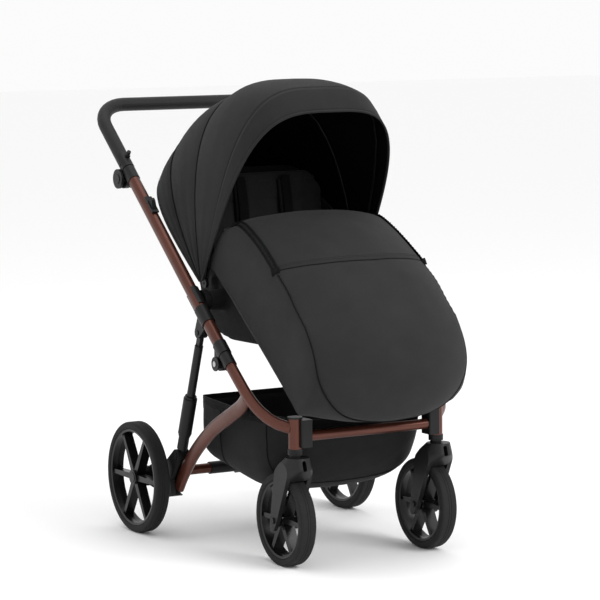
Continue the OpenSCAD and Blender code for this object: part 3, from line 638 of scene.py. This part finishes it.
path = seam_uv(0.37, 0.9, 150, 0, -1)
path = path + [(u, -v) for u, v in reversed(path[:-1])]
ln, nr = boot_line(path, 1.9)
boot_bits.append(join("boot_panel_piping", [tube(ln, 0.0016, 8)], [trim_m]))
path = seam_uv(0.38, 0.9, 150, 0.035, -1)
path = [(u - 0.008 * max(0, (u - 0.78) / 0.11), v) for u, v in path]
path = path + [(u, -v) for u, v in reversed(path[:-1])]
ln, nr = boot_line(path, 0.3)
boot_bits.append(join("boot_panel_stitch", stitches(ln, nr), [thread_m]))
for sgn, tag in ((-1, "right"), (1, "left")):
    # zip: two tapes, the chain of teeth between them, a slider with a pull
    ln, nr = boot_line(seam_uv(0.0, 0.372, 70, 0, sgn), 2.0)
    boot_bits.append(join("boot_zip_tape_" + tag, [strip(ln, nr, 0.017, 0.0016)], [trim_m]))
    teeth = []
    tl = resample(ln, 0.0026)
    src = np.array([tuple(p) for p in ln])
    for i in range(1, len(tl) - 1):
        k = int(np.argmin(np.linalg.norm(src - np.array(tuple(tl[i])), axis=1)))
        t = (tl[i + 1] - tl[i - 1]).normalized()
        s = t.cross(nr[k]).normalized()
        c = tl[i] + nr[k] * 0.0013
        teeth.append(tube([c - s * 0.0027, c, c + s * 0.0027], 0.0008, 6))
    boot_bits.append(join("boot_zip_teeth_" + tag, teeth, [black_m]))
    c, k, t = ln[3] + nr[3] * 0.0032, nr[3], (ln[5] - ln[1]).normalized()
    s = t.cross(k)
    slider = [strip([c - t * 0.006, c - t * 0.003, c, c + t * 0.003, c + t * 0.006], [k] * 5, 0.0092, 0.0036, 14, 0.5)]
    boot_bits.append(join("boot_zip_slider_" + tag, slider, [grey_m]))
    ring = [c + k * 0.0022 + t * (0.0045 + 0.0042 * (1 - math.cos(g))) + s * 0.0036 * math.sin(g) for g in [2 * math.pi * i / 20 for i in range(21)]]
    pull = [c + t * (0.0115 + 0.003 * i) + k * (0.0018 - 0.0004 * i) for i in range(7)]
    boot_bits.append(join("boot_zip_pull_" + tag, [tube(ring, 0.0006, 6)], [grey_m]))
    boot_bits.append(join("boot_zip_tab_" + tag, [strip(pull, [k] * 7, 0.0062, 0.0018, 12, 0.5)], [trim_m]))
    # a garage of tape over the zip's end
    e_, n_ = ln[-1], nr[-1]
    t = (ln[-1] - ln[-3]).normalized()
    boot_bits.append(join("boot_zip_stop_" + tag, [strip([e_ - t * 0.008 + n_ * 0.0014, e_ + n_ * 0.0016, e_ + t * 0.008 + n_ * 0.0010], [n_] * 3, 0.021, 0.0018, 12, 0.4)], [trim_m]))
    # hem of the side wall
    hw = w_r if sgn < 0 else w_l
    hl = [W(hw[i][19]) for i in range(4, len(hw) - 4)]
    boot_bits.append(join("boot_hem_stitch_" + tag, stitches([p + Vector((sgn * 0.0004, 0, 0)) for p in hl], [Vector((sgn, 0, 0))] * len(hl)), [thread_m]))
# the flap's edge across the cover: two rows of stitches above it, and the bound edge of the opening
for off, tag in ((0.0085, "a"), (0.0150, "b")):
    ln, nr = boot_line([(FLAP + 0.045 * v * v - off, v) for v in [-0.84 + 1.68 * i / 150 for i in range(151)]], 0.4)
    boot_bits.append(join("boot_flap_stitch_" + tag, stitches(ln, nr), [thread_m]))
ln, nr = boot_line([(FLAP + 0.045 * v * v + 0.003, v) for v in [-0.85 + 1.7 * i / 150 for i in range(151)]], 0.2)
boot_bits.append(join("boot_flap_edge", [tube(ln, 0.0011, 8)], [trim_m]))
ln, nr = boot_line([(0.0, -0.97 + 1.94 * i / 120) for i in range(121)], 0.4)
boot_bits.append(join("boot_opening_binding", [strip(ln, nr, 0.007, 0.0058, 12, 0.6)], [boot_m]))
for o in boot_bits:
    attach(o, "seat")

# ---------------------------------------------------------------- shopping basket
BK = [(45, 198, 235, 192, 334), (20, 203, 240, 174, 332), (-80, 206, 245, 152, 330), (-175, 206, 250, 140, 328), (-245, 200, 262, 160, 326), (-310, 172, 288, 222, 323), (-351, 148, 310, 285, 320)]
BKc = catmull(BK, 8)
NB = len(BKc)
NX = 57


def basket_point(k, f, inset=0.0):
    """Section k (0 rear to NB-1 front), f from 0 at the right rim round the bottom to 1 at the left rim."""
    y, w, zk, zb, zt = BKc[k]
    w -= inset
    side = 0.22
    if f < side or f > 1 - side:
        q = (f if f < side else 1 - f) / side
        x, z = w, zt + (zk - zt) * q
        # the cloth side bows out between rim and floor and sags between its hangers
        bow_ = 2.0 * math.sin(math.pi * q) + 1.6 * nz(w, y, z, 90)
        x = (x + bow_ - 2.0) * (-1 if f < side else 1)
        z -= 3.0 * (1 - q) * math.sin(math.pi * (y + 351) / 396) ** 2
        return (x, y, z)
    g = math.pi * (f - side) / (1 - 2 * side)
    c, s = math.cos(g), math.sin(g)
    x = -w * math.copysign(abs(c) ** 0.55, c)
    z = zk - (zk - zb) * abs(s) ** 0.8
    z += 1.8 * nz(x, y, z, 100) * abs(s) + 0.8 * nz(x + 90, y, z, 40)
    x *= 1 - 0.009 * (1 - abs(s))
    return (x, y, z)


rows = [[basket_point(k, j / (NX - 1)) for j in range(NX)] for k in range(NB)]


def closed_end(row, y1, sink):
    """Rows that close an end of the basket: the section shrinks to a line at the rim, with a soft rounded corner."""
    ref = np.array(row)
    zt = ref[0][2]
    out = []
    for i in range(1, 10):
        q = i / 9 * 0.985
        r = []
        for p in ref:
            x, y, z = p
            zz = z + (zt - z) * q
            yy = y + y1 * (1 - math.exp(-q * 8)) + sink * math.sin(math.pi * q) * (1 - (x / 220) ** 2)
            r.append((x * (1 - 0.02 * min(q * 4, 1)), yy, zz))
        out.append(r)
    return out


rows = list(reversed(closed_end(rows[0], 2.2, 2.0))) + rows + closed_end(rows[-1], -2.2, -1.5)
basket = grid("basket_bag", rows, [basket_m, basket_m])
face_out(basket, (0, -130, 300))
basket_area = area_of(basket)
thicken(basket, 0.0026)
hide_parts("basket")
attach(basket, "chassis")
bits = []
rim_r = [W(basket_point(k, 0.0)) + Vector((0, 0, 0)) for k in range(NB)]
rim_l = [W(basket_point(k, 1.0)) for k in range(NB)]
y0 = rim_r[0].y
loop = rim_r + [rim_r[-1] + (rim_l[-1] - rim_r[-1]) * (i / 20) + Vector((0, -0.0022 * min(1, i, 20 - i), 0)) for i in range(1, 20)] + list(reversed(rim_l)) + [rim_l[0] + (rim_r[0] - rim_l[0]) * (i / 20) + Vector((0, 0.0022 * min(1, i, 20 - i), 0)) for i in range(1, 21)]
loop = resample(loop, 0.008)
cen = W((0, -150, 328))
ln_n = [((p - cen) * Vector((1, 1, 0))).normalized() for p in loop]
bits.append(join("basket_rim_binding", [strip(loop, ln_n, 0.020, 0.0042, 12, 0.5)], [trim_m]))
bits.append(join("basket_rim_stitch", stitches([p + n_ * 0.0021 + Vector((0, 0, -0.006)) for p, n_ in zip(loop, ln_n)], ln_n), [thread_m]))
for k, tag in ((14, "a"), (33, "b")):
    pts = [W(basket_point(k, j / (NX - 1))) for j in range(1, NX - 1)]
    cc = W((0, BKc[k][0], 290))
    nn = [((p - cc) * Vector((1, 0, 1))).normalized() for p in pts]
    bits.append(join("basket_seam_" + tag, [tube([p + n_ * 0.0003 for p, n_ in zip(pts, nn)], 0.0013, 8)], [trim_m]))
    bits.append(join("basket_seam_stitch_" + tag, stitches([p + n_ * 0.0006 + Vector((0, 0.005, 0)) for p, n_ in zip(pts, nn)], nn), [thread_m]))
for o in bits:
    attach(o, "chassis")


# ---------------------------------------------------------------- seat shell and liner
def soft_copy(node, name, voxel, smooth_n, mats, shrink=0.0):
    """A rounded cloth-covered form over a CAD solid's own space."""
    me = nodes[node].data.copy()
    me.name = name
    o = bpy.data.objects.new(name, me)
    scene.collection.objects.link(o)
    me.materials.clear()
    for mt in mats:
        me.materials.append(mt)
    w = o.modifiers.new("w", "WELD")
    w.merge_threshold = 0.00002
    r = o.modifiers.new("r", "REMESH")
    r.mode, r.voxel_size, r.adaptivity = "VOXEL", voxel, 0
    s = o.modifiers.new("s", "SMOOTH")
    s.factor, s.iterations = 0.5, smooth_n
    if shrink:
        d = o.modifiers.new("d", "DISPLACE")
        d.strength, d.mid_level = -shrink, 0
    return apply(o)


def normals_of(me):
    n_ = np.zeros(len(me.vertices) * 3, np.float32)
    me.vertices.foreach_get("normal", n_)
    return n_.reshape(-1, 3)


def coords(me):
    c = np.zeros(len(me.vertices) * 3, np.float32)
    me.vertices.foreach_get("co", c)
    return c.reshape(-1, 3)


shell = soft_copy("seat_shell", "seat_shell_cover", 0.005, 5, [seat_back_m])
me = shell.data
c, nn = coords(me), normals_of(me)
for i in range(len(c)):
    x, y, z = c[i] * 1000
    c[i] += nn[i] * (0.0007 * nz(x, y, z, 70) + 0.0003 * nz(x, y, z, 26))
me.vertices.foreach_set("co", c.ravel())
me.update()
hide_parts("seat_shell")
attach(shell, "seat")

liner = soft_copy("seat_liner", "seat_liner_pad", 0.0048, 4, [seat_m])
# the pad swells like a filled cushion, held to a few millimetres
rest = coords(liner.data).copy()
cl = liner.modifiers.new("cloth", "CLOTH")
cl.settings.use_pressure = True
cl.settings.uniform_pressure_force = 4
cl.settings.effector_weights.gravity = 0
cl.point_cache.frame_start, cl.point_cache.frame_end = 1, 20
for fr in range(1, 21):
    scene.frame_set(fr)
dg = bpy.context.evaluated_depsgraph_get()
ev = liner.evaluated_get(dg).to_mesh()
got = coords(ev).copy()
liner.evaluated_get(dg).to_mesh_clear()
liner.modifiers.clear()
scene.frame_set(1)
d = got - rest
ln_ = np.linalg.norm(d, axis=1, keepdims=True)
d = d / np.maximum(ln_, 1e-9) * np.minimum(ln_, 0.004)
liner.data.vertices.foreach_set("co", (rest + d).astype(np.float32).ravel())
liner.data.update()
me = liner.data
c, nn = coords(me), normals_of(me)
BACK0, BACK1 = np.array([40.0, 548.0]), np.array([112.0, 858.0])
for i in range(len(c)):
    x, y, z = c[i][0] * 1000, c[i][1] * 1000 - OFF, c[i][2] * 1000
    k = 0.0
    if z > 590:
        # sewn channels across and down the back pad
        for zc in (640, 720, 790, 832):
            k -= 2.4 * math.exp(-((z - zc) / 4.0) ** 2)
        k -= 2.2 * math.exp(-((abs(x) - 120) / 4.0) ** 2)
    else:
        for yc in (-40, -120):
            k -= 2.4 * math.exp(-((y - yc) / 4.0) ** 2)
        k -= 2.2 * math.exp(-((abs(x) - 120) / 4.0) ** 2)
    k += 0.8 * nz(x, y, z, 60)
    c[i] += nn[i] * k / 1000
me.vertices.foreach_set("co", c.ravel())
me.update()
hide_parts("seat_liner")
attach(liner, "seat")


# ---------------------------------------------------------------- harness
def yz_line(pts, x):
    return [W((x, p[0], p[1])) for p in pts]


def line_normals(pts):
    """Normals in the YZ plane, facing the child's side."""
    out = []
    for i in range(len(pts)):
        t = (pts[min(i + 1, len(pts) - 1)] - pts[max(i - 1, 0)]).normalized()
        k = Vector((0, t.z, -t.y))
        if k.y > 0:
            k = -k
        out.append(k.normalized())
    return out


pad_c = catmull([(104, 838), (90, 762), (92.6, 732), (79, 698)], 8)
strap_c = catmull([(104, 846), (86, 762), (89, 735), (74, 694), (63, 622), (27, 578)], 8)
hb = []
for sgn, tag in ((-1, "right"), (1, "left")):
    p = yz_line(pad_c, sgn * 60)
    padv, padf = strip(resample(p, 0.006), line_normals(resample(p, 0.006)), 0.037, 0.0105, 20, 0.62)
    pad = join("harness_pad_" + tag, [(padv, padf)], [seat_back_m])
    pp = resample(p, 0.004)
    stl = []
    for s_ in (-1, 1):
        stl += stitches([q + Vector((s_ * 0.0145, 0, 0)) + k * 0.0047 for q, k in zip(pp, line_normals(pp))], line_normals(pp), r=0.0004)
    hb.append(join("harness_pad_stitch_" + tag, stl, [thread_m]))
    q = resample(yz_line(strap_c, sgn * 61), 0.007)
    k = line_normals(q)
    hb.append(join("harness_strap_" + tag, [strip([a + b * 0.0055 for a, b in zip(q, k)], k, 0.024, 0.0018, 12, 0.4)], [web_m]))
    # ladder adjuster on the strap below the pad
    a, b = q[int(len(q) * 0.60)] + k[int(len(q) * 0.60)] * 0.0075, k[int(len(q) * 0.60)]
    t = (q[int(len(q) * 0.60) + 1] - q[int(len(q) * 0.60) - 1]).normalized()
    hb.append(join("harness_adjuster_" + tag, [strip([a + t * v for v in (-0.012, -0.009, 0, 0.009, 0.012)], [b] * 5, 0.031, 0.0048, 16, 0.5),
                                             strip([a + t * v + b * 0.002 for v in (-0.003, 0, 0.003)], [b] * 3, 0.034, 0.0042, 16, 0.5)], [black_m]))
    # waist strap from the pad's side to the buckle
    ws = [W((sgn * x, 24 - 0.10 * x, 566 - 0.02 * x)) for x in (22, 45, 70, 100, 130, 150)]
    ws = resample(ws, 0.008)
    hb.append(join("harness_waist_" + tag, [strip(ws, [Vector((0, -0.55, 0.84))] * len(ws), 0.024, 0.0018, 12, 0.4)], [web_m]))
    for o in (pad,):
        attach(o, "seat")
buckle = soft_copy("harness", "harness_buckle", 0.0022, 3, [black_m])
me = buckle.data
bm = bmesh.new()
bm.from_mesh(me)
keep = [v for v in bm.verts if not (abs(v.co.x) < 0.034 and v.co.z < 0.6 + 0.005)]
bmesh.ops.delete(bm, geom=keep, context="VERTS")
bm.to_mesh(me)
bm.free()
me.update()
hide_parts("harness")
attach(buckle, "seat")
for o in hb:
    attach(o, "seat")

# seams sewn into the back pad's cover: a double stitch across the top and one down each side
seat_bits = []


def on_back(x, z):
    """A point on the face of the back pad."""
    q = np.interp(z, [548, 566, 762, 858], [40, 66, 102, 112])
    return W((x, q - 0.9, z))


for zc, tag in ((832, "a"), (790, "b"), (720, "c"), (640, "d")):
    pts = [on_back(x, zc) for x in np.linspace(-112, 112, 60)]
    nr = [Vector((0, -0.97, 0.2))] * 60
    seat_bits.append(join("liner_stitch_across_" + tag, stitches([p + Vector((0, 0, 0.0035)) for p in pts], nr) + stitches([p - Vector((0, 0, 0.0035)) for p in pts], nr), [thread_m]))
for sgn, tag in ((-1, "right"), (1, "left")):
    pts = [on_back(sgn * 120, z) for z in np.linspace(600, 842, 70)]
    seat_bits.append(join("liner_stitch_down_" + tag, stitches(pts, [Vector((0, -0.97, 0.2))] * 70), [thread_m]))
for o in seat_bits:
    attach(o, "seat")

# the head end of the hood is closed by a panel sewn from its rear arch to the seat shell
shell_tree = BVHTree.FromPolygons([v.co.copy() for v in shell.data.vertices], [p.vertices[:] for p in shell.data.polygons])
upper, lower = [], []
for i in range(101):
    g = math.radians(14 + 152 * i / 100)
    p = W(arch(C0[0] + 0.3, CW - 1.6, C0[1] - 2.4, C0[2], g))
    upper.append(p)
    lower.append(shell_tree.find_nearest(p)[0])
lo_ = np.array([tuple(p) for p in lower])
for _ in range(3):
    lo_[1:-1] = (lo_[:-2] + lo_[1:-1] * 2 + lo_[2:]) / 4
rows = []
for k in range(13):
    t = k / 12
    row = []
    for i in range(101):
        a, b = upper[i], Vector(lo_[i])
        p = a.lerp(b, t)
        sag = 0.004 * math.sin(math.pi * t) * math.sin(math.pi * i / 100) + 0.0008 * math.sin(math.pi * t) * math.sin(i * 0.55 + 2 * t)
        row.append(((p.x) * 1000, (p.y + sag) * 1000 - OFF, (p.z - sag * 0.5) * 1000))
    rows.append(row)
head_panel = face_out(grid("hood_head_panel", rows, [hood_m, lining_m]), (0, CY, CZ))
head_area = area_of(head_panel)
thicken(head_panel, 0.002, 1)
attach(head_panel, "seat")

# ---------------------------------------------------------------- sheet areas and flat sizes
HELD = {
    "hood_rear": (1.04, 0.11), "hood_middle": (1.04, 0.24), "hood_front": (1.08, 0.30), "hood_visor": (1.06, 0.075),
}
for o in (rear, middle, front, visor):
    half = area_of(o) / 2
    fw, fl = HELD[o.name]
    print("SHEET", o.name, round(half, 4), "flat", round(fw * fl, 4))
print("SHEET boot", [round(x, 4) for x in boot_area], "basket", round(basket_area, 4))

# ---------------------------------------------------------------- floor and light
fl = make("floor", [(-30, -30, 0), (30, -30, 0), (30, 30, 0), (-30, 30, 0)], [(0, 1, 2, 3)], [])
fm = bpy.data.materials.new("floor")
fm.use_nodes = True
fb = fm.node_tree.nodes["Principled BSDF"]
fb.inputs["Base Color"].default_value = (0.97, 0.97, 0.97, 1)
fb.inputs["Roughness"].default_value = 0.9
fb.inputs["Specular IOR Level"].default_value = 0.1
fl.data.materials.append(fm)
world = bpy.data.worlds.new("world")
scene.world = world
world.use_nodes = True
world.node_tree.nodes["Background"].inputs["Color"].default_value = (1, 1, 1, 1)
world.node_tree.nodes["Background"].inputs["Strength"].default_value = 0.97


def area_light(name, loc, size, power):
    li = bpy.data.lights.new(name, "AREA")
    li.energy, li.size, li.shape = power, size, "SQUARE"
    o = bpy.data.objects.new(name, li)
    o.location = loc
    o.rotation_euler = (Vector((0, -0.1, 0.55)) - Vector(loc)).to_track_quat("-Z", "Y").to_euler()
    scene.collection.objects.link(o)


area_light("key", (1.6, -4.2, 3.2), 2.2, 130)
area_light("fill", (-4.4, -1.0, 2.4), 2.6, 6)
area_light("top", (0.0, 0.6, 4.6), 3.0, 34)
